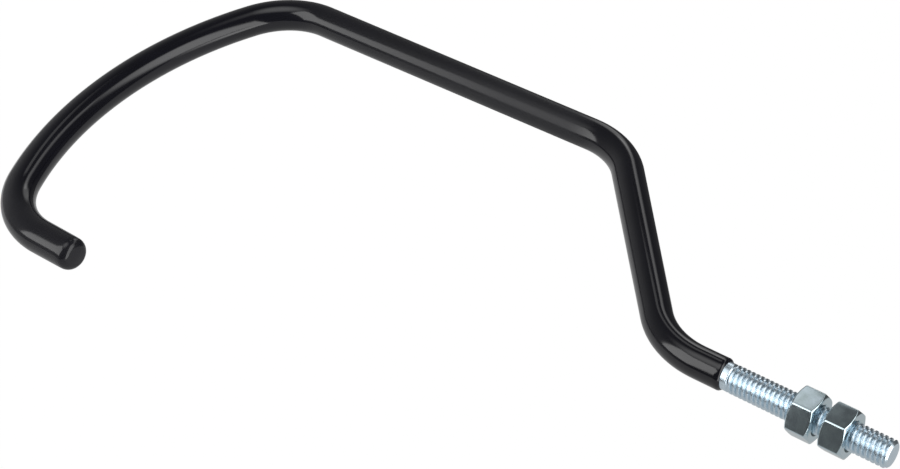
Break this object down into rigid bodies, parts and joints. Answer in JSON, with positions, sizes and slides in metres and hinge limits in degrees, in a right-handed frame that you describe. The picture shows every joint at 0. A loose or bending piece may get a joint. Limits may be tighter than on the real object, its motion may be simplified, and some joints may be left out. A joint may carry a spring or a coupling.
{
  "type": "bicycle storage hook",
  "caption": "Question-mark hook of bent steel rod with a black vinyl coating and a threaded stud clamped by nuts, for hanging a bicycle from a beam.",
  "frame": {"origin": "middle of the inner nut's bearing face, on the stud's axis, where the underside of the beam rests", "axes": "+Z along the stud towards its free end, so the hook hangs down -Z; the hook's plane is XZ with the arm at -X and the upturned tip at +X; +Y is square to that plane"},
  "size_m": [0.1387, 0.0132, 0.2889],
  "materials": {
    "zinc_plated_rod": "bright zinc plating on a rolled thread",
    "black_vinyl": "glossy dipped soft vinyl",
    "zinc_plated_nut": "bright zinc plating"
  },
  "bodies": {
    "hook": {"hook_rod": "zinc_plated_rod", "vinyl_coating": "black_vinyl"},
    "lower_nut": {"inner_nut": "zinc_plated_nut"},
    "upper_nut": {"outer_nut": "zinc_plated_nut"}
  },
  "joints": [
    {"name": "inner_nut_travel", "type": "slide", "parent": "hook", "child": "lower_nut", "axis": [0, 0, 1], "range_m": [-0.01834, 0.00141]},
    {"name": "outer_nut_travel", "type": "slide", "parent": "hook", "child": "upper_nut", "axis": [0, 0, 1], "range_m": [-0.00141, 0.01834]}
  ]
}
